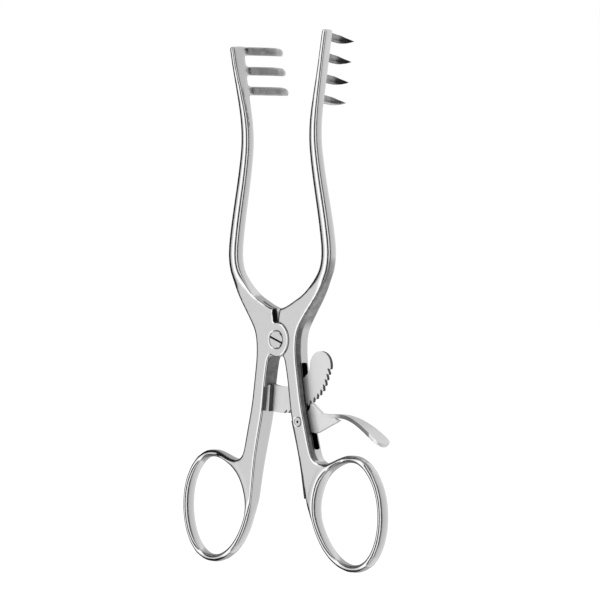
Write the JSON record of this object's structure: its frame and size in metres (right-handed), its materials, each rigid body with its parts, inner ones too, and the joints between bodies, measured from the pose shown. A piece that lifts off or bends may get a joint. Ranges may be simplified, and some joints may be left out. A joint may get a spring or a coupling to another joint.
{
  "type": "self retaining retractor",
  "caption": "Surgical retractor: two hinged arms end in sharp rakes, finger rings spread them, and a toothed bar with a thumb release holds them open.",
  "frame": {"origin": "the pivot: the axis of the joint screw, half way through the joint's thickness", "axes": "+Z along the instrument from the finger rings to the rakes, +X to the right as the user sees it, +Y away from the user, the way the prongs reach"},
  "size_m": [0.087, 0.0188, 0.1682],
  "materials": {
    "satin_steel": "satin-polished stainless steel, bright along its edges",
    "ratchet_steel": "fine satin stainless steel with milled teeth",
    "lever_steel": "satin stainless steel, polished on the thumb pad's edge",
    "screw_steel": "turned and polished stainless steel",
    "spring_steel": "plain darker spring steel"
  },
  "bodies": {
    "left": {"left_half": "satin_steel", "ratchet_bar": "ratchet_steel", "ratchet_screw": "screw_steel"},
    "right": {"right_half": "satin_steel", "joint_screw": "screw_steel", "lever_pin": "screw_steel", "release_spring": "spring_steel", "spring_screw": "screw_steel"},
    "lever": {"release_lever": "lever_steel"}
  },
  "joints": [
    {"name": "arm_hinge", "type": "hinge", "parent": "left", "child": "right", "pos_m": [0, 0, 0], "axis": [0, 1, 0], "range_deg": [-14.25, 23.75]},
    {"name": "lever_press", "type": "hinge", "parent": "right", "child": "lever", "pos_m": [0.0093, 0.00105, -0.0256], "axis": [0, 1, 0], "range_deg": [-5, 8], "stiffness_Nm_per_rad": 0.03, "deforming": ["release_spring"]}
  ]
}
